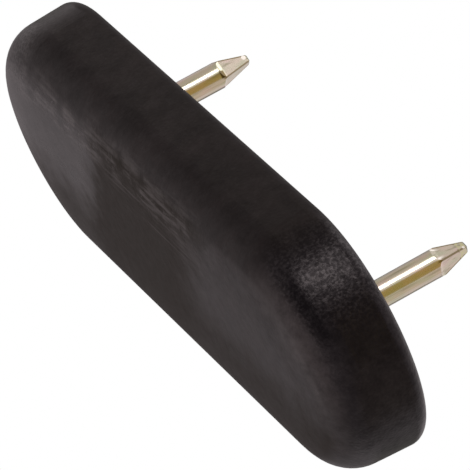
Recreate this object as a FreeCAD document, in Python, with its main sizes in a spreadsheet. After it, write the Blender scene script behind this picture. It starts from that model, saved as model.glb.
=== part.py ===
import FreeCAD, Part
import math
import os
import Sketcher

# An oblong furniture glide with two nails moulded into it.
# It stands as it does in use: the glide face is down on the floor at z = 0, the seat that meets the
# furniture is up, and the nails point up out of the seat. X runs along the glide, and the origin is
# at the middle of the glide face.

doc = FreeCAD.newDocument("nail_on_glide")
sheet = doc.addObject("Spreadsheet::Sheet", "Sizes")


# Driving dimensions, in millimetres and degrees

driving = {
    "body_length": 50.0,      # over both round ends, at the seat
    "body_width": 18.0,       # across the flat sides, at the seat
    "body_thickness": 6.6,    # from the middle of the glide face to the seat
    "wall_draft": 3.0,        # the side wall is narrower towards the glide face
    "land_width": 7.0,        # flat middle of the glide face
    "crown_radius": 25.0,     # the glide face curves up gently from its flat middle to its edge
    "face_radius": 3.0,       # rounded edge of the glide face
    "seat_radius": 1.0,       # rounded edge of the seat
    "nail_inset": 9.5,        # from the end of the body to the nail's axis
    "nail_diameter": 1.9,     # shank
    "nail_length": 13.0,      # from the outside of the head to the tip
    "head_diameter": 4.2,     # head of a nail, inside the plastic
    "head_rim": 0.6,          # straight rim of the head
    "neck_height": 0.5,       # cone between the rim and the shank
    "head_cover": 2.1,        # plastic between the glide face and the heads
    "facet_length": 2.0,      # straight part of the four cut faces of a point
    "facet_angle": 12.0,      # between a cut face and the nail's axis
    "runout_radius": 0.7,     # where a cut face runs out to the shank
    "tip_width": 0.5,         # across the flats at the blunt tip
    "tip_radius": 0.18,       # rounded edge of the blunt tip
    "grip_depth": 0.12,       # grip marks on the shank, inside the plastic
    "grip_width": 0.6,        # along the shank
    "grip_pitch": 0.5,        # from one grip mark to the next, so that they run into each other
    "grip_count": 5,          # grip marks on each nail
    "left_turn": 36.0,        # of the left nail's cut faces about its axis
    "right_turn": 12.0,       # of the right nail's cut faces about its axis
}
for row, (alias, value) in enumerate(driving.items(), 1):
    sheet.set("A" + str(row), alias)
    sheet.set("B" + str(row), str(value))
    sheet.setAlias("B" + str(row), alias)
doc.recompute()


# Small helpers

def origin_feature(body, role):
    for feature in body.Origin.OriginFeatures:
        if feature.Role == role:
            return feature


def new_sketch(body, name, plane):
    sketch = body.newObject("Sketcher::SketchObject", name)
    sketch.AttachmentSupport = [(origin_feature(body, plane), "")]
    sketch.MapMode = "FlatFace"
    return sketch


def add_line(sketch, start, end, construction=False):
    line = Part.LineSegment(FreeCAD.Vector(*start), FreeCAD.Vector(*end))
    return sketch.addGeometry(line, construction)


def add_arc(sketch, centre, radius, start, end):
    circle = Part.Circle(FreeCAD.Vector(*centre), FreeCAD.Vector(0, 0, 1), radius)
    return sketch.addGeometry(Part.ArcOfCircle(circle, start, end))


def add_outline(sketch, corners):
    # A closed outline of straight lines. Line n runs from corner n to the next one.
    lines = []
    for number, corner in enumerate(corners):
        lines.append(add_line(sketch, corner, corners[(number + 1) % len(corners)]))
    for number, line in enumerate(lines):
        after = lines[(number + 1) % len(lines)]
        sketch.addConstraint(Sketcher.Constraint("Coincident", line, 2, after, 1))
    return lines


def drive(sketch, name, expression, *constraint):
    # A named constraint whose value follows the sheet.
    value = float(sketch.evalExpression(expression))
    number = sketch.addConstraint(Sketcher.Constraint(*constraint, value))
    sketch.renameConstraint(number, name)
    sketch.setExpression("Constraints." + name, expression)


def edges_at(feature, height):
    # Names of the edges that lie level at this height.
    names = []
    for number, edge in enumerate(feature.Shape.Edges, 1):
        box = edge.BoundBox
        if abs(box.ZMin - height) < 0.001 and abs(box.ZMax - height) < 0.001:
            names.append("Edge" + str(number))
    return names


# The moulded body, before the nails take up their room in it

def half_section(body, name, plane, middle, place):
    # Half of the body's section, from its middle to its side wall. Where the middle isn't at the
    # origin, place is the expression that it follows.
    lean = math.radians(sheet.wall_draft)
    crown_radius = sheet.crown_radius
    edge_radius = sheet.face_radius
    brim_radius = sheet.seat_radius
    top = sheet.body_thickness
    land = middle + sheet.land_width / 2
    side = middle + sheet.body_width / 2
    foot = side - top * math.tan(lean)

    # Where the rounded edges start and end, so that the sketch opens already in its own shape.
    # The centre of the face edge lies along the wall and as far from the crown's centre as the two
    # radii differ.
    along = FreeCAD.Vector(math.sin(lean), math.cos(lean), 0)
    outward = FreeCAD.Vector(math.cos(lean), -math.sin(lean), 0)
    start = FreeCAD.Vector(foot, 0, 0) - outward * edge_radius
    crown_centre = FreeCAD.Vector(land, crown_radius, 0)
    reach = start - crown_centre
    slide = reach.dot(along)
    way = -slide - math.sqrt(slide ** 2 - reach.dot(reach) + (crown_radius - edge_radius) ** 2)
    edge_centre = start + along * way
    spoke = edge_centre - crown_centre
    crown_end = math.atan2(spoke.y, spoke.x) + 2 * math.pi
    wall_end = FreeCAD.Vector(foot, 0, 0) + along * ((top - brim_radius - brim_radius * math.sin(lean))
                                                     / math.cos(lean))
    brim_centre = wall_end - outward * brim_radius

    section = new_sketch(body, name, plane)
    flat = add_line(section, (middle, 0, 0), (land, 0, 0))
    crown = add_arc(section, crown_centre, crown_radius, 1.5 * math.pi, crown_end)
    edge = add_arc(section, edge_centre, edge_radius, crown_end, 2 * math.pi - lean)
    wall = add_line(section, edge_centre + outward * edge_radius, wall_end)
    brim = add_arc(section, brim_centre, brim_radius, -lean, math.pi / 2)
    seat = add_line(section, (brim_centre.x, top, 0), (middle, top, 0))
    axis = add_line(section, (middle, top, 0), (middle, 0, 0))
    for first, second in ((flat, crown), (seat, axis), (axis, flat)):
        section.addConstraint(Sketcher.Constraint("Coincident", first, 2, second, 1))
    for first, second in ((crown, edge), (edge, wall), (wall, brim), (brim, seat)):
        section.addConstraint(Sketcher.Constraint("Tangent", first, 2, second, 1))
    section.addConstraint(Sketcher.Constraint("Horizontal", flat))
    section.addConstraint(Sketcher.Constraint("Horizontal", seat))
    section.addConstraint(Sketcher.Constraint("Vertical", axis))
    section.addConstraint(Sketcher.Constraint("Vertical", crown, 1, crown, 3))
    if place:
        section.addConstraint(Sketcher.Constraint("PointOnObject", flat, 1, -1))
        drive(section, "middle", place, "DistanceX", -1, 1, flat, 1)
    else:
        section.addConstraint(Sketcher.Constraint("Coincident", flat, 1, -1, 1))

    # The sizes are taken at the sharp corners, where the wall would meet the floor and the seat.
    low = add_line(section, (land, 0, 0), (foot, 0, 0), True)
    high = add_line(section, (brim_centre.x, top, 0), (side, top, 0), True)
    section.addConstraint(Sketcher.Constraint("Coincident", low, 1, flat, 2))
    section.addConstraint(Sketcher.Constraint("Coincident", high, 1, seat, 1))
    for corner in (low, high):
        section.addConstraint(Sketcher.Constraint("Horizontal", corner))
        section.addConstraint(Sketcher.Constraint("PointOnObject", corner, 2, wall))
    drive(section, "half_land", "Sizes.land_width / 2", "Distance", flat)
    drive(section, "crown_radius", "Sizes.crown_radius", "Radius", crown)
    drive(section, "face_radius", "Sizes.face_radius", "Radius", edge)
    drive(section, "seat_radius", "Sizes.seat_radius", "Radius", brim)
    drive(section, "thickness", "Sizes.body_thickness", "Distance", axis)
    drive(section, "half_width", "Sizes.body_width / 2", "DistanceX", axis, 1, high, 2)
    drive(section, "wall_foot",
          "Sizes.body_width / 2 - Sizes.land_width / 2 - Sizes.body_thickness * tan(Sizes.wall_draft)",
          "Distance", low)
    return section


def make_blank():
    # The straight part is drawn out along the glide and the round end is turned, and both are
    # repeated half a turn round the middle.
    body = doc.addObject("PartDesign::Body", "Blank")
    body.Label = "moulded_blank"

    along = body.newObject("PartDesign::Pad", "StraightSide")
    along.Profile = half_section(body, "SideSection", "YZ_Plane", 0, None)
    along.Midplane = True
    along.setExpression("Length", "Sizes.body_length - Sizes.body_width")
    doc.recompute()

    straight = (sheet.body_length - sheet.body_width) / 2
    section = half_section(body, "EndSection", "XZ_Plane", straight,
                           "Sizes.body_length / 2 - Sizes.body_width / 2")
    end = body.newObject("PartDesign::Revolution", "RoundEnd")
    end.Profile = section
    end.ReferenceAxis = (section, ["Edge7"])
    end.Angle = 180
    end.Midplane = True
    doc.recompute()

    blank = body.newObject("PartDesign::PolarPattern", "BothHalves")
    blank.Originals = [along, end]
    blank.Axis = (origin_feature(body, "Z_Axis"), [""])
    blank.Angle = 360
    blank.Occurrences = 2
    body.Tip = blank
    doc.recompute()
    return body


# A nail stands on its head at its own z = 0, as it comes off the wire

def head_and_shank(body):
    shank = sheet.nail_diameter / 2
    head = sheet.head_diameter / 2
    rim = sheet.head_rim
    neck = rim + sheet.neck_height
    length = sheet.nail_length
    half = new_sketch(body, "HalfProfile", "XZ_Plane")
    under, side, cone, wall, top, axis = add_outline(half, [
        (0, 0, 0), (head, 0, 0), (head, rim, 0), (shank, neck, 0), (shank, length, 0), (0, length, 0)])
    half.addConstraint(Sketcher.Constraint("Coincident", under, 1, -1, 1))
    half.addConstraint(Sketcher.Constraint("Horizontal", under))
    half.addConstraint(Sketcher.Constraint("Vertical", side))
    half.addConstraint(Sketcher.Constraint("Vertical", wall))
    half.addConstraint(Sketcher.Constraint("Horizontal", top))
    half.addConstraint(Sketcher.Constraint("Vertical", axis))
    drive(half, "head_radius", "Sizes.head_diameter / 2", "Distance", under)
    drive(half, "rim_height", "Sizes.head_rim", "Distance", side)
    drive(half, "cone_height", "Sizes.neck_height", "DistanceY", cone, 1, cone, 2)
    drive(half, "shank_radius", "Sizes.nail_diameter / 2", "Distance", top)
    drive(half, "full_length", "Sizes.nail_length", "Distance", axis)

    wire = body.newObject("PartDesign::Revolution", "HeadAndShank")
    wire.Profile = half
    wire.ReferenceAxis = (half, ["V_Axis"])
    wire.Angle = 360
    doc.recompute()


def grip_marks(body):
    # Shallow V grooves that the plastic flows into, from the seat down towards the head.
    root = sheet.nail_diameter / 2 - sheet.grip_depth
    mouth = sheet.nail_diameter / 2 + sheet.grip_depth
    height = sheet.body_thickness - sheet.head_cover - sheet.grip_width / 2
    notch = new_sketch(body, "GripNotch", "XZ_Plane")
    lower, upper, opening = add_outline(notch, [
        (mouth, height - sheet.grip_width, 0), (root, height, 0), (mouth, height + sheet.grip_width, 0)])
    notch.addConstraint(Sketcher.Constraint("Vertical", opening))
    notch.addConstraint(Sketcher.Constraint("Equal", lower, upper))
    drive(notch, "root_radius", "Sizes.nail_diameter / 2 - Sizes.grip_depth",
          "DistanceX", -1, 1, lower, 2)
    drive(notch, "mouth_radius", "Sizes.nail_diameter / 2 + Sizes.grip_depth",
          "DistanceX", -1, 1, opening, 1)
    drive(notch, "root_height", "Sizes.body_thickness - Sizes.head_cover - Sizes.grip_width / 2",
          "DistanceY", -1, 1, lower, 2)
    drive(notch, "mouth_height", "Sizes.grip_width * 2", "Distance", opening)

    mark = body.newObject("PartDesign::Groove", "GripMark")
    mark.Profile = notch
    mark.ReferenceAxis = (notch, ["V_Axis"])
    mark.Angle = 360
    doc.recompute()

    marks = body.newObject("PartDesign::LinearPattern", "GripMarks")
    marks.Originals = [mark]
    marks.Direction = (origin_feature(body, "Z_Axis"), [""])
    marks.Reversed = True
    marks.setExpression("Length", "Sizes.grip_pitch * (Sizes.grip_count - 1)")
    marks.setExpression("Occurrences", "Sizes.grip_count")
    body.Tip = marks
    doc.recompute()


def four_sided_point(body):
    # The wire is pinched to a point between four dies. A die is a flat that leans in to the tip and
    # ends in a rounded heel, where the cut face runs out to the shank.
    lean = math.radians(sheet.facet_angle)
    heel = sheet.runout_radius
    reach = sheet.nail_diameter + heel
    top = sheet.nail_length
    tip = sheet.tip_width / 2
    foot = tip + sheet.facet_length * math.tan(lean)
    low = top - sheet.facet_length
    centre = (foot + heel * math.cos(lean), low + heel * math.sin(lean), 0)
    floor = centre[1] - heel
    die = new_sketch(body, "PointDie", "XZ_Plane")
    facet = add_line(die, (tip, top, 0), (foot, low, 0))
    curve = add_arc(die, centre, heel, math.pi + lean, 1.5 * math.pi)
    sole = add_line(die, (centre[0], floor, 0), (reach, floor, 0))
    back = add_line(die, (reach, floor, 0), (reach, top, 0))
    roof = add_line(die, (reach, top, 0), (tip, top, 0))
    die.addConstraint(Sketcher.Constraint("Tangent", facet, 2, curve, 1))
    die.addConstraint(Sketcher.Constraint("Tangent", curve, 2, sole, 1))
    die.addConstraint(Sketcher.Constraint("Coincident", sole, 2, back, 1))
    die.addConstraint(Sketcher.Constraint("Coincident", back, 2, roof, 1))
    die.addConstraint(Sketcher.Constraint("Coincident", roof, 2, facet, 1))
    die.addConstraint(Sketcher.Constraint("Horizontal", sole))
    die.addConstraint(Sketcher.Constraint("Vertical", back))
    die.addConstraint(Sketcher.Constraint("Horizontal", roof))
    drive(die, "tip_height", "Sizes.nail_length", "DistanceY", -1, 1, facet, 1)
    drive(die, "half_tip", "Sizes.tip_width / 2", "DistanceX", -1, 1, facet, 1)
    drive(die, "facet_rise", "Sizes.facet_length", "DistanceY", facet, 2, facet, 1)
    drive(die, "facet_run", "Sizes.facet_length * tan(Sizes.facet_angle)",
          "DistanceX", facet, 1, facet, 2)
    drive(die, "heel_radius", "Sizes.runout_radius", "Radius", curve)
    drive(die, "die_reach", "Sizes.nail_diameter + Sizes.runout_radius",
          "DistanceX", -1, 1, back, 1)

    bite = body.newObject("PartDesign::Pocket", "CutFace")
    bite.Profile = die
    bite.Type = "ThroughAll"
    bite.Midplane = True
    doc.recompute()

    point = body.newObject("PartDesign::PolarPattern", "FourSidedPoint")
    point.Originals = [bite]
    point.Axis = (origin_feature(body, "Z_Axis"), [""])
    point.Angle = 360
    point.Occurrences = 4
    body.Tip = point
    doc.recompute()

    blunt = body.newObject("PartDesign::Fillet", "BluntTip")
    blunt.Base = (point, edges_at(point, top))
    blunt.setExpression("Radius", "Sizes.tip_radius")
    body.Tip = blunt
    doc.recompute()


def make_nail(label, side, turn):
    body = doc.addObject("PartDesign::Body", label.title().replace("_", ""))
    body.Label = label
    head_and_shank(body)
    grip_marks(body)
    four_sided_point(body)
    body.setExpression("Placement.Base.x", side + "(Sizes.body_length / 2 - Sizes.nail_inset)")
    body.setExpression("Placement.Base.z", "Sizes.head_cover")
    body.setExpression("Placement.Rotation.Angle", "Sizes." + turn)
    doc.recompute()
    return body


# The plastic flows round the nails, so it is the blank less the room that they take

def mould_round(blank, nails):
    solid = blank
    for nail in nails:
        cut = doc.addObject("Part::Cut", "Moulded")
        cut.Base = solid
        cut.Tool = nail
        solid = cut
    solid.Label = "glide_body"
    doc.recompute()
    return solid


nail_left = make_nail("nail_left", "-", "left_turn")
nail_right = make_nail("nail_right", "+", "right_turn")
glide_body = mould_round(make_blank(), [nail_left, nail_right])


# Nothing is written unless every object and every sub-part is sound

pieces = [glide_body, nail_left, nail_right]
for item in doc.Objects:
    if "Invalid" in item.State or "Error" in item.State:
        raise RuntimeError("failed object: " + item.Label)
for piece in pieces:
    if piece.Shape.isNull() or not piece.Shape.isValid():
        raise RuntimeError("bad shape: " + piece.Label)

os.makedirs("parts", exist_ok=True)
for piece in pieces:
    piece.Shape.exportStep("parts/" + piece.Label + ".step")
    print(piece.Label, "solids", len(piece.Shape.Solids), "volume", round(piece.Shape.Volume, 3))
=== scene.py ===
import bpy
import bmesh
import math
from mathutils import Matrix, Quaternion, Vector

# An oblong furniture glide of black plastic, with two plated nails moulded into it.
# Lengths are in metres. The glide face is down at z = 0, the nails point up, and X runs along the glide.

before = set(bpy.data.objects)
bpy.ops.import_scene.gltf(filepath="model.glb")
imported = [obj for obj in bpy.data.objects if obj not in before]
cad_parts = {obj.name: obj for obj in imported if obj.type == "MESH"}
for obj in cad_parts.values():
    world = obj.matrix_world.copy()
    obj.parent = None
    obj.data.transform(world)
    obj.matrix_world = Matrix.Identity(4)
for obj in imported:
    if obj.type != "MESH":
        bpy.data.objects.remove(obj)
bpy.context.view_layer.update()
scene = bpy.context.scene
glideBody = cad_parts["glide_body"]
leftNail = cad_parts["nail_left"]
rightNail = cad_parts["nail_right"]
print("frame loaded:", sorted(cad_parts))


# Helpers for node trees. A name that ends in Out gives back a node's output.

def newTree(owner):
    owner.use_nodes = True
    owner.node_tree.nodes.clear()
    return owner.node_tree


def addNode(tree, kind, inputs=None, **settings):
    # inputs maps a socket's name or number to a plain value or to another node's output
    made = tree.nodes.new(kind)
    for name, value in settings.items():
        setattr(made, name, value)
    for name, value in (inputs or {}).items():
        if isinstance(value, bpy.types.NodeSocket):
            tree.links.new(value, made.inputs[name])
        else:
            made.inputs[name].default_value = value
    return made


def mathOut(tree, operation, first, second=0.0, third=0.0):
    made = addNode(tree, "ShaderNodeMath", {0: first, 1: second, 2: third}, operation=operation)
    return made.outputs[0]


def timesOut(tree, *factors):
    product = factors[0]
    for factor in factors[1:]:
        product = mathOut(tree, "MULTIPLY", product, factor)
    return product


def restOut(tree, share):
    return mathOut(tree, "SUBTRACT", 1.0, share)


def rangeOut(tree, value, low, high, start=0.0, end=1.0):
    made = addNode(tree, "ShaderNodeMapRange", {
        "Value": value, "From Min": low, "From Max": high, "To Min": start, "To Max": end,
    }, interpolation_type="SMOOTHSTEP")
    return made.outputs["Result"]


def bandOut(tree, value, low, high, soft):
    # 1 from low to high, falling to 0 over the soft width at both ends
    rise = rangeOut(tree, value, low - soft, low + soft)
    fall = rangeOut(tree, value, high - soft, high + soft, 1.0, 0.0)
    return timesOut(tree, rise, fall)


def distanceOut(tree, vector, point):
    made = addNode(tree, "ShaderNodeVectorMath", {0: vector, 1: point}, operation="DISTANCE")
    return made.outputs["Value"]


def noiseOut(tree, vector, scale, detail, rough, distortion=0.0):
    made = addNode(tree, "ShaderNodeTexNoise", {
        "Vector": vector, "Scale": scale, "Detail": detail, "Roughness": rough, "Distortion": distortion})
    return made.outputs["Fac"]


def mixOut(tree, share, first, second):
    # colours: first where share is 0, second where it is 1
    made = addNode(tree, "ShaderNodeMix", {"Factor": share}, data_type="RGBA")
    for socket, value in ((made.inputs[6], first), (made.inputs[7], second)):
        if isinstance(value, bpy.types.NodeSocket):
            tree.links.new(value, socket)
        else:
            socket.default_value = (*value, 1.0)
    return made.outputs[2]


def mixFloat(tree, share, first, second):
    # the same for numbers
    made = addNode(tree, "ShaderNodeMix", {0: share, 2: first, 3: second}, data_type="FLOAT")
    return made.outputs[0]


def stretchedOut(tree, vector, scale, turn=0.0):
    made = addNode(tree, "ShaderNodeMapping", {"Vector": vector, "Rotation": (0, 0, turn), "Scale": scale})
    return made.outputs["Vector"]


# Camera, from a fit of the body's outline and the two nails to the photograph

cameraLook = {
    "place": (0.277286, -0.191715, -0.075411),
    "azimuth": 145.1391,   # the way it looks, from +X towards +Y
    "rise": 13.4691,       # it looks up from under the floor
    "roll": 61.1699,
    "lens": 407.03,
    "sensor": 36.0,
    "clip": (0.01, 20.0),
}


def wayTo(azimuth, rise):
    # unit vector that points this many degrees round from +X towards +Y, and this many up
    turned, up = math.radians(azimuth), math.radians(rise)
    return Vector((math.cos(turned) * math.cos(up), math.sin(turned) * math.cos(up), math.sin(up)))


def makeCamera(look):
    data = bpy.data.cameras.new("photoCamera")
    data.sensor_width = look["sensor"]
    data.lens = look["lens"]
    data.clip_start, data.clip_end = look["clip"]
    camera = bpy.data.objects.new("photoCamera", data)
    scene.collection.objects.link(camera)
    forward = wayTo(look["azimuth"], look["rise"])
    camera.rotation_mode = "QUATERNION"
    camera.rotation_quaternion = (forward.to_track_quat("-Z", "Y")
                                  @ Quaternion((0, 0, 1), math.radians(look["roll"])))
    camera.location = look["place"]
    scene.camera = camera


makeCamera(cameraLook)
scene.view_settings.view_transform = "Standard"
print("camera placed")


# Studio: a pale surround with dimmer openings, two soft panels and a pale floor. The camera sees the
# surround as plain white. Azimuths and heights are in degrees.

surround = {
    "wall": (0.82, 0.755, 0.765),
    "top": 1.3,                      # how much brighter it is overhead
    "topRise": (30.0, 60.0),
    "bottom": 2.6,                   # and underfoot
    "bottomRise": (-32.0, -80.0),
    "softness": 4.0,
    "plain": (1.0, 1.0, 1.0),
    "openings": {
        "behindCamera": {"azimuth": (-48.0, 6.0), "height": (-13.0, 28.0), "colour": (0.34, 0.315, 0.31)},
        # warm and dim, so that the wire shows a deep gold band
        "warmBehind": {"azimuth": (-48.0, 6.0), "height": (8.5, 20.5), "colour": (0.47, 0.33, 0.055)},
        "belowCamera": {"azimuth": (-92.0, -24.0), "height": (-55.0, -14.0), "colour": (0.08, 0.08, 0.08)},
        "frontWall": {"azimuth": (10.0, 62.0), "height": (-13.0, 28.0), "colour": (0.70, 0.61, 0.53)},
        "sideWall": {"azimuth": (-152.0, -98.0), "height": (-14.0, 9.0), "colour": (0.24, 0.215, 0.22)},
        "sideTop": {"azimuth": (-152.0, -98.0), "height": (9.0, 30.0), "colour": (0.60, 0.55, 0.49)},
        "farWall": {"azimuth": (108.0, 178.0), "height": (-34.0, 8.0), "colour": (0.37, 0.335, 0.345)},
        # dim, so that the seat's edge has no bright rim
        "farOver": {"azimuth": (138.0, 184.0), "height": (15.0, 46.0), "colour": (0.24, 0.22, 0.22)},
        "backOver": {"azimuth": (-184.0, -154.0), "height": (15.0, 46.0), "colour": (0.24, 0.22, 0.22)},
        # dark, so that the wire's edges stand out from the background
        "farTop": {"azimuth": (94.0, 176.0), "height": (9.0, 16.0), "colour": (0.10, 0.10, 0.08)},
    },
}


def makeSurround(look):
    world = bpy.data.worlds.new("studio")
    scene.world = world
    tree = newTree(world)
    ray = addNode(tree, "ShaderNodeLightPath")
    way = addNode(tree, "ShaderNodeTexCoord").outputs["Generated"]
    split = addNode(tree, "ShaderNodeSeparateXYZ", {0: way})
    turned = mathOut(tree, "ARCTAN2", split.outputs["Y"], split.outputs["X"])
    azimuth = mathOut(tree, "DEGREES", turned)
    height = mathOut(tree, "DEGREES", mathOut(tree, "ARCSINE", split.outputs["Z"]))
    overhead = rangeOut(tree, height, *look["topRise"], 1.0, look["top"])
    underfoot = rangeOut(tree, height, *look["bottomRise"], 1.0, look["bottom"])
    wall = addNode(tree, "ShaderNodeVectorMath", {
        0: look["wall"], "Scale": timesOut(tree, overhead, underfoot)}, operation="SCALE")
    shown = wall.outputs[0]
    for opening in look["openings"].values():
        inside = timesOut(tree, bandOut(tree, azimuth, *opening["azimuth"], look["softness"]),
                          bandOut(tree, height, *opening["height"], look["softness"]))
        shown = mixOut(tree, inside, shown, opening["colour"])
    seenThrough = mathOut(tree, "MAXIMUM", ray.outputs["Is Camera Ray"], ray.outputs["Is Transmission Ray"])
    seen = mixOut(tree, seenThrough, shown, look["plain"])
    light = addNode(tree, "ShaderNodeBackground", {"Color": seen, "Strength": 1.0})
    addNode(tree, "ShaderNodeOutputWorld", {"Surface": light.outputs[0]})


# each panel spans so many degrees, and its brightness is relative to plain white
panels = {
    "softBox": {"azimuth": -76.0, "rise": 9.0, "wide": 20.0, "high": 38.0, "away": 0.6, "bright": 3.8},
    "overhead": {"azimuth": -108.0, "rise": 62.0, "wide": 32.0, "high": 34.0, "away": 0.7, "bright": 1.0},
}


def makePanel(name, look):
    data = bpy.data.lights.new(name, "AREA")
    data.shape = "RECTANGLE"
    data.size = 2 * look["away"] * math.tan(math.radians(look["wide"] / 2))
    data.size_y = 2 * look["away"] * math.tan(math.radians(look["high"] / 2))
    data.energy = 4 * data.size * data.size_y * look["bright"]   # a panel of brightness 1 is plain white
    lamp = bpy.data.objects.new(name, data)
    scene.collection.objects.link(lamp)
    back = wayTo(look["azimuth"], look["rise"])
    lamp.location = back * look["away"]
    lamp.rotation_mode = "QUATERNION"
    lamp.rotation_quaternion = back.to_track_quat("Z", "Y")
    lamp.visible_camera = False


floorLook = {
    "side": 6.0,
    "height": 0.00005,    # just over the glide face, so that the two never lie in one plane
    "colour": (0.865, 0.910, 0.900),
}


def makeFloor(look):
    # Seen from above it is a pale floor that takes the glide's shadow. The camera looks up from
    # under it, so its back is clear, and it keeps no light from the glide face.
    shape = bmesh.new()
    bmesh.ops.create_grid(shape, x_segments=1, y_segments=1, size=look["side"] / 2)
    bmesh.ops.translate(shape, verts=shape.verts, vec=(0, 0, look["height"]))
    mesh = bpy.data.meshes.new("floor")
    shape.to_mesh(mesh)
    shape.free()
    floor = bpy.data.objects.new("floor", mesh)
    scene.collection.objects.link(floor)
    material = bpy.data.materials.new("paleFloor")
    tree = newTree(material)
    under = addNode(tree, "ShaderNodeNewGeometry").outputs["Backfacing"]
    ray = addNode(tree, "ShaderNodeLightPath")
    hidden = mathOut(tree, "MAXIMUM", under, restOut(tree, ray.outputs["Is Camera Ray"]))
    clear = addNode(tree, "ShaderNodeBsdfTransparent").outputs[0]
    matte = addNode(tree, "ShaderNodeBsdfDiffuse", {"Color": (*look["colour"], 1.0)}).outputs[0]
    mixed = addNode(tree, "ShaderNodeMixShader", {0: hidden, 1: matte, 2: clear})
    addNode(tree, "ShaderNodeOutputMaterial", {"Surface": mixed.outputs[0]})
    mesh.materials.append(material)


makeSurround(surround)
for panelName, panelLook in panels.items():
    makePanel(panelName, panelLook)
makeFloor(floorLook)
print("studio lit")


# Black plastic of the glide: spark-eroded grain, coarser round the ends, and faint clouding on the
# walls, with painted shade darkening the wall round the +X end. The glide face is worn: burnished at one
# end, dull in its middle, and scuffed along one edge.
# A pair of places or levels gives where something starts and where it is full. A noise is given by
# its scale, detail, roughness and distortion.

plasticLook = {
    "deep": (0.0060, 0.0047, 0.0045),
    "pale": (0.0100, 0.0077, 0.0074),
    "dullColour": (0.0110, 0.0086, 0.0066),
    # painted shade: the round wall of the +X end gets a darker, less warm base
    "endShadeColour": (0.0036, 0.0029, 0.0036),
    "scuffColour": (0.050, 0.045, 0.044),
    "sheen": (1.0, 0.88, 0.89),            # tint of its gloss
    "dullSheen": (1.0, 0.88, 0.84),

    # roughness and specular level of each kind of surface
    "wall": (0.36, 0.118),
    "end": (0.33, 0.200),
    "dull": (0.46, 0.047),
    "burnished": (0.27, 0.220),
    "worn": (0.34, 0.120),

    # how far a surface looks down (1 is straight down) to count as the face, and as its rounded edge
    "faceDown": (0.80, 0.97),
    "edgeDown": (0.45, 0.85),
    "curveDown": (0.9995, 0.992),          # where the face starts to curve up
    "curveEnd": (0.85, 0.93),

    # zones of the face, with edges that wander
    "cloudNoise": (420.0, 4.0, 0.55),
    "cloudTone": (0.3, 0.7),
    "wander": 0.005,
    "lean": 0.60,                          # the zones' edges lean this far along X for each step down Y
    "burnishedEdge": (-0.0080, -0.0115),   # along X, where it crosses Y = 0
    "wornEdge": (0.0026, 0.0080),
    "farEdge": (0.0042, -0.0010),          # across Y: the strip beyond is duller
    "farWear": 0.20,                       # the share of the wear that it has

    # how much glossier it gets
    "leftEnd": (-0.014, -0.0255),
    "leftPolish": 2.55,
    "rightEnd": (-0.005, 0.016),
    "rightPolish": 0.80,
    "tip": (0.0175, 0.0215),
    "tipSides": (-0.003, 0.004),
    "tipPolish": (1.20, 0.85),             # on its near side and its far side
    "lowBand": (0.0016, 0.0042),           # up the walls, from the glide face
    "lowPolish": 0.78,
    "lowEndPolish": 1.00,
    "wornShine": 1.6,                      # the worn part, where it curves up to the edge
    "mottleNoise": (1100.0, 6.0, 0.72),
    "mottle": 1.6,
    "endMottle": 1.9,

    # glints of the coarser grain: beside the highlight at one end, and on the rim of the other
    "speckNoise": (4300.0, 2.0, 0.7),
    "speckRange": (0.40, 0.66),
    "specks": (0.62, 1.62),
    "speckPlace": (0.0206, -0.0076, 0.0040),
    "speckReach": (0.0026, 0.0050),        # full to faint
    "speckRest": 0.22,
    "rimSpecks": (0.80, 2.30),
    "rimPlace": (-0.0195, -0.0072, 0.0008),
    "rimReach": (0.0012, 0.0040),

    # scuffs in a lane beside the edge: drawn-out streaks and small chips, in patches
    "scuffMiddle": -0.0060,                # across Y
    "scuffSpread": (0.0024, 0.0004),
    "scuffEnds": (-0.0190, 0.0105),        # along X
    "scuffFade": 0.002,
    "streakRun": ((0.09, 1.0, 0.8), 0.05),   # stretch and turn
    "streakNoise": (2100.0, 5.0, 0.7, 0.1),
    "streaks": (0.42, 0.64),
    "chipNoise": (2600.0, 3.0, 0.7),
    "chips": (0.52, 0.68),
    "chipDepth": 0.8,
    "patchNoise": (430.0, 3.0, 0.6),
    "patches": (0.36, 0.58),

    # long thin lines beside the scuffs
    "lineRun": ((0.025, 1.0, 0.2), -0.10),
    "lineNoise": (4200.0, 3.0, 0.6),
    "lines": (0.50, 0.66),
    "lineDepth": 0.6,
    "lineEnds": (-0.0050, 0.0085),
    "lineFade": 0.002,
    "lineSides": (-0.0056, -0.0030),
    "lineSideFade": 0.0007,

    # grain
    "grainNoise": (3600.0, 3.0, 0.6),
    "grainHeight": 0.000010,
    "endGrain": (0.0162, 0.0198),          # along X
    "endGrainHeight": 0.000011,
    "pebbleScale": 4600.0,
    "pebbleSmoothness": 0.35,
    "laneGrain": 0.5,                      # share of the end's grain on the scuffed lane
}


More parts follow.
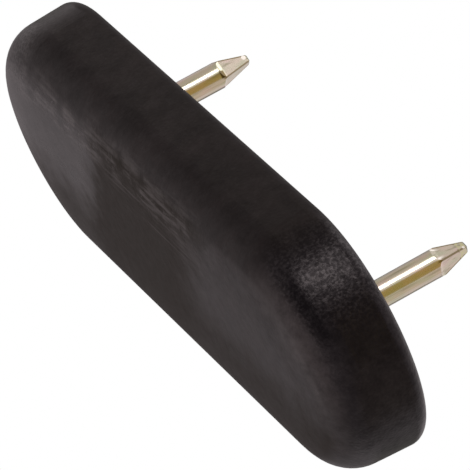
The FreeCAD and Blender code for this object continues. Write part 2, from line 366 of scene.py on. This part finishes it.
def makePlastic(look):
    material = bpy.data.materials.new("blackPlastic")
    tree = newTree(material)
    place = addNode(tree, "ShaderNodeTexCoord").outputs["Object"]
    split = addNode(tree, "ShaderNodeSeparateXYZ", {0: place})
    along, across, height = (split.outputs[axis] for axis in "XYZ")
    normal = addNode(tree, "ShaderNodeNewGeometry").outputs["Normal"]
    facing = addNode(tree, "ShaderNodeSeparateXYZ", {0: normal}).outputs["Z"]
    down = mathOut(tree, "MULTIPLY", facing, -1.0)
    onFace = rangeOut(tree, down, *look["faceDown"])
    nearFace = rangeOut(tree, down, *look["edgeDown"])
    onWalls = restOut(tree, nearFace)
    roundEnd = rangeOut(tree, along, *look["endGrain"])

    clouds = noiseOut(tree, place, *look["cloudNoise"])
    drift = mathOut(tree, "MULTIPLY_ADD", clouds, look["wander"], -look["wander"] / 2)
    leant = mathOut(tree, "MULTIPLY_ADD", across, look["lean"], along)
    wandered = mathOut(tree, "ADD", leant, drift)
    near = rangeOut(tree, mathOut(tree, "ADD", across, drift), *look["farEdge"], look["farWear"], 1.0)
    burnished = timesOut(tree, near, rangeOut(tree, wandered, *look["burnishedEdge"]))
    worn = timesOut(tree, near, rangeOut(tree, wandered, *look["wornEdge"]))
    dullness = timesOut(tree, onFace, restOut(tree, mathOut(tree, "MAXIMUM", worn, burnished)))

    finish = []
    for number in range(2):
        face = mixFloat(tree, worn, look["dull"][number], look["worn"][number])
        face = mixFloat(tree, burnished, face, look["burnished"][number])
        sides = mixFloat(tree, roundEnd, look["wall"][number], look["end"][number])
        finish.append(mixFloat(tree, onFace, sides, face))
    roughness, gloss = finish

    atTip = rangeOut(tree, across, *look["tipSides"], *look["tipPolish"])
    mottle = mathOut(tree, "SUBTRACT", noiseOut(tree, place, *look["mottleNoise"]), 0.5)
    mottleDepth = mixFloat(tree, roundEnd, look["mottle"], look["endMottle"])
    lowPolish = mixFloat(tree, roundEnd, look["lowPolish"], look["lowEndPolish"])
    low = rangeOut(tree, mathOut(tree, "MULTIPLY_ADD", drift, 0.5, height), *look["lowBand"], lowPolish, 1.0)
    curved = timesOut(tree, rangeOut(tree, down, *look["curveDown"]), rangeOut(tree, down, *look["curveEnd"]))
    gloss = timesOut(
        tree, gloss,
        rangeOut(tree, along, *look["leftEnd"], 1.0, look["leftPolish"]),
        rangeOut(tree, along, *look["rightEnd"], 1.0, look["rightPolish"]),
        mixFloat(tree, rangeOut(tree, along, *look["tip"]), 1.0, atTip),
        mathOut(tree, "MULTIPLY_ADD", mottle, mottleDepth, 1.0),
        mixFloat(tree, nearFace, low, 1.0),
        mixFloat(tree, timesOut(tree, curved, worn), 1.0, look["wornShine"]))

    points = noiseOut(tree, place, *look["speckNoise"])
    speckled = rangeOut(tree, distanceOut(tree, place, look["speckPlace"]), *look["speckReach"],
                        1.0, look["speckRest"])
    rimmed = rangeOut(tree, distanceOut(tree, place, look["rimPlace"]), *look["rimReach"], 1.0, 0.0)
    for share, levels in ((timesOut(tree, speckled, onWalls), look["specks"]), (rimmed, look["rimSpecks"])):
        specks = rangeOut(tree, points, *look["speckRange"], *levels)
        gloss = timesOut(tree, gloss, mixFloat(tree, share, 1.0, specks))

    offset = mathOut(tree, "ABSOLUTE", mathOut(tree, "SUBTRACT", across, look["scuffMiddle"]))
    lane = timesOut(tree, rangeOut(tree, offset, *look["scuffSpread"]),
                    bandOut(tree, along, *look["scuffEnds"], look["scuffFade"]), nearFace)
    drawn = stretchedOut(tree, place, *look["streakRun"])
    streaks = rangeOut(tree, noiseOut(tree, drawn, *look["streakNoise"]), *look["streaks"])
    chips = rangeOut(tree, noiseOut(tree, place, *look["chipNoise"]), *look["chips"], 0.0, look["chipDepth"])
    patches = rangeOut(tree, noiseOut(tree, place, *look["patchNoise"]), *look["patches"])
    scuffs = timesOut(tree, lane, mathOut(tree, "MAXIMUM", streaks, chips), patches)
    fine = stretchedOut(tree, place, *look["lineRun"])
    lines = timesOut(tree, rangeOut(tree, noiseOut(tree, fine, *look["lineNoise"]), *look["lines"]),
                     bandOut(tree, along, *look["lineEnds"], look["lineFade"]),
                     bandOut(tree, across, *look["lineSides"], look["lineSideFade"]),
                     nearFace, look["lineDepth"])
    scuffs = mathOut(tree, "MAXIMUM", scuffs, lines)

    colour = mixOut(tree, rangeOut(tree, clouds, *look["cloudTone"]), look["deep"], look["pale"])
    colour = mixOut(tree, dullness, colour, look["dullColour"])
    # painted shade on the wall round the +X end
    colour = mixOut(tree, timesOut(tree, roundEnd, onWalls), colour, look["endShadeColour"])
    colour = mixOut(tree, scuffs, colour, look["scuffColour"])
    sheen = mixOut(tree, dullness, look["sheen"], look["dullSheen"])

    grain = noiseOut(tree, place, *look["grainNoise"])
    pebbles = addNode(tree, "ShaderNodeTexVoronoi", {
        "Vector": place, "Scale": look["pebbleScale"], "Smoothness": look["pebbleSmoothness"],
    }, feature="SMOOTH_F1").outputs["Distance"]
    outward = mathOut(tree, "ABSOLUTE", along)
    coarse = timesOut(tree, rangeOut(tree, outward, *look["endGrain"]), onWalls)
    coarse = mathOut(tree, "MAXIMUM", coarse, timesOut(tree, lane, look["laneGrain"]))
    relief = mathOut(tree, "SUBTRACT", timesOut(tree, grain, look["grainHeight"]),
                     timesOut(tree, pebbles, coarse, look["endGrainHeight"]))
    bump = addNode(tree, "ShaderNodeBump", {"Height": relief, "Distance": 1.0, "Strength": 1.0})
    surface = addNode(tree, "ShaderNodeBsdfPrincipled", {
        "Base Color": colour, "Roughness": roughness, "Specular IOR Level": gloss,
        "Specular Tint": sheen, "Normal": bump.outputs["Normal"]})
    addNode(tree, "ShaderNodeOutputMaterial", {"Surface": surface.outputs[0]})
    return material


glideBody.material_slots[0].material = makePlastic(plasticLook)
print("glide finished")


# Plated nails: drawn wire with a pale yellow and pink film on the zinc. The ridges of the cut point
# have a painted dark reflection along them, and each tip has a painted highlight and a dark end. The
# left nail's run-out is painted deep gold as a painted reflection; the right nail has a painted bright
# strip beside its ridges, and a nip near the tip with painted shade in its notch.

platingLook = {
    "zinc": (0.63, 0.57, 0.46),
    "pink": (0.68, 0.56, 0.49),
    "green": (0.57, 0.57, 0.43),
    "streak": (0.34, 0.32, 0.22),      # darker lines along the drawn wire
    # painted dark reflection along the ridges of the point, and painted shade in the nip's notch
    "ridgeShade": (0.26, 0.21, 0.12),
    # painted highlights: the glint at each tip and the strip beside the right nail's ridges
    "bright": (0.98, 0.96, 0.86),
    "dark": (0.16, 0.16, 0.11),
    # painted reflection: deep gold over the lower half of the left nail's run-out
    "dull": (0.125, 0.095, 0.045),
    "brass": (0.62, 0.62, 0.36),
    "roughness": 0.20,

    "filmStretch": (1.0, 1.0, 0.5),
    "filmNoise": (1500.0, 3.0, 0.5),
    "pinkRange": (0.55, 0.70),
    "greenRange": (0.51, 0.36),
    "streakStretch": (1.0, 1.0, 0.05),
    "streakNoise": (4200.0, 3.0, 0.6),
    "streaks": (0.50, 0.72),
    "streakDepth": 0.8,
    "drawnStretch": (1.0, 1.0, 0.04),  # fine lines of the drawing, as relief
    "drawnNoise": (9000.0, 3.0, 0.6),
    "drawnHeight": 0.0000022,

    "pointStart": (0.01262, 0.01292),  # heights
    "ridgeWidth": (0.000128, 0.000056),
    "shineWidth": (-0.00036, -0.000176, 0.00003),   # beside the ridges, and its softness
    "shineFade": 0.0004,
    "runOutShadeSide": (0.00002, 0.00014),
    "runOutShadeHeight": (0.01264, 0.01300, 0.00005),
    "runOutShadeReach": (-0.00004, -0.00012),
    "nipWidth": 0.00005,
    "nipReach": (0.00024, 0.00006),
    "nipFade": 0.0001,
    "blotchNoise": (5200.0, 2.0, 0.6),
    "blotches": (0.44, 0.56),
    "blotchDepth": 0.8,
    "raggedNoise": (6000.0, 2.0, 0.5),
    "ragged": 0.00016,                 # how far the dark tip's edge strays
    "darkFade": (0.00006, 0.00012),
    "glintFade": 0.6,
}

# the nail's middle along X, the turn of its cut faces, and where its marks lie from its own axis
nailMarks = {
    "left": {"middle": -0.0155, "turn": 36.0, "glint": (0.00006, -0.00034, 0.01480), "glintSize": 0.00020,
             "darkFrom": 0.01496, "nip": 0.0, "shine": 0.0},
    "right": {"middle": 0.0155, "turn": 12.0, "glint": (0.00030, -0.00028, 0.01482), "glintSize": 0.00013,
              "darkFrom": 0.01498, "nip": 0.01440, "shine": 0.01345},
}


def makePlating(name, look, marks):
    material = bpy.data.materials.new(name)
    tree = newTree(material)
    place = addNode(tree, "ShaderNodeTexCoord").outputs["Object"]
    film = noiseOut(tree, stretchedOut(tree, place, look["filmStretch"]), *look["filmNoise"])
    colour = mixOut(tree, rangeOut(tree, film, *look["pinkRange"]), look["zinc"], look["pink"])
    colour = mixOut(tree, rangeOut(tree, film, *look["greenRange"]), colour, look["green"])
    streaks = noiseOut(tree, stretchedOut(tree, place, look["streakStretch"]), *look["streakNoise"])
    colour = mixOut(tree, rangeOut(tree, streaks, *look["streaks"], 0.0, look["streakDepth"]),
                    colour, look["streak"])

    # in the nail's own frame the cut faces look along X and Y, and the ridges lie where they are equal
    own = addNode(tree, "ShaderNodeMapping", {
        "Vector": place, "Location": (marks["middle"], 0, 0), "Rotation": (0, 0, math.radians(marks["turn"])),
    }, vector_type="TEXTURE").outputs["Vector"]
    split = addNode(tree, "ShaderNodeSeparateXYZ", {0: own})
    height = split.outputs["Z"]
    sideways = mathOut(tree, "SUBTRACT", mathOut(tree, "ABSOLUTE", split.outputs["X"]),
                       mathOut(tree, "ABSOLUTE", split.outputs["Y"]))
    fromRidge = mathOut(tree, "ABSOLUTE", sideways)
    onPoint = rangeOut(tree, height, *look["pointStart"])
    # painted dark reflection along the ridges
    ridgeShade = timesOut(tree, rangeOut(tree, fromRidge, *look["ridgeWidth"]), onPoint)
    colour = mixOut(tree, ridgeShade, colour, look["ridgeShade"])
    if marks["shine"]:
        # painted highlight: a bright strip beside the ridges, on the lower part of the point
        lit = timesOut(tree, bandOut(tree, sideways, *look["shineWidth"]), onPoint,
                       rangeOut(tree, height, marks["shine"], marks["shine"] - look["shineFade"]))
        colour = mixOut(tree, lit, colour, look["bright"])
    else:
        # the lower half of the run-out of the cut face is painted deep gold: a painted reflection
        runOutShade = timesOut(tree, rangeOut(tree, split.outputs["X"], *look["runOutShadeSide"]),
                         bandOut(tree, height, *look["runOutShadeHeight"]),
                         rangeOut(tree, sideways, *look["runOutShadeReach"]))
        colour = mixOut(tree, runOutShade, colour, look["dull"])
    if marks["nip"]:
        beyond = rangeOut(tree, height, marks["nip"], marks["nip"] + look["nipFade"])
        blotches = rangeOut(tree, noiseOut(tree, place, *look["blotchNoise"]), *look["blotches"],
                            0.0, look["blotchDepth"])
        colour = mixOut(tree, timesOut(tree, beyond, blotches), colour, look["brass"])
        # a dark line at the nip: painted shade in its notch
        nip = bandOut(tree, height, marks["nip"] - look["nipWidth"], marks["nip"] + look["nipWidth"],
                      look["nipWidth"])
        onRidge = rangeOut(tree, fromRidge, *look["nipReach"])
        colour = mixOut(tree, timesOut(tree, nip, onRidge), colour, look["ridgeShade"])
    straying = noiseOut(tree, place, *look["raggedNoise"])
    ragged = mathOut(tree, "MULTIPLY_ADD", straying, look["ragged"], height)
    end = rangeOut(tree, ragged, *(marks["darkFrom"] + fade for fade in look["darkFade"]))
    colour = mixOut(tree, end, colour, look["dark"])
    # painted highlight: a near-white glint near the tip
    glintPlace = Vector(marks["glint"]) + Vector((marks["middle"], 0, 0))
    spot = rangeOut(tree, distanceOut(tree, place, glintPlace),
                    marks["glintSize"], marks["glintSize"] * look["glintFade"])
    colour = mixOut(tree, spot, colour, look["bright"])

    drawn = noiseOut(tree, stretchedOut(tree, place, look["drawnStretch"]), *look["drawnNoise"])
    bump = addNode(tree, "ShaderNodeBump", {
        "Height": drawn, "Distance": look["drawnHeight"], "Strength": 1.0})
    surface = addNode(tree, "ShaderNodeBsdfPrincipled", {
        "Base Color": colour, "Metallic": 1.0, "Roughness": look["roughness"],
        "Normal": bump.outputs["Normal"]})
    addNode(tree, "ShaderNodeOutputMaterial", {"Surface": surface.outputs[0]})
    return material


leftNail.material_slots[0].material = makePlating("platedSteelLeft", platingLook, nailMarks["left"])
rightNail.material_slots[0].material = makePlating("platedSteelRight", platingLook, nailMarks["right"])
print("nails finished")
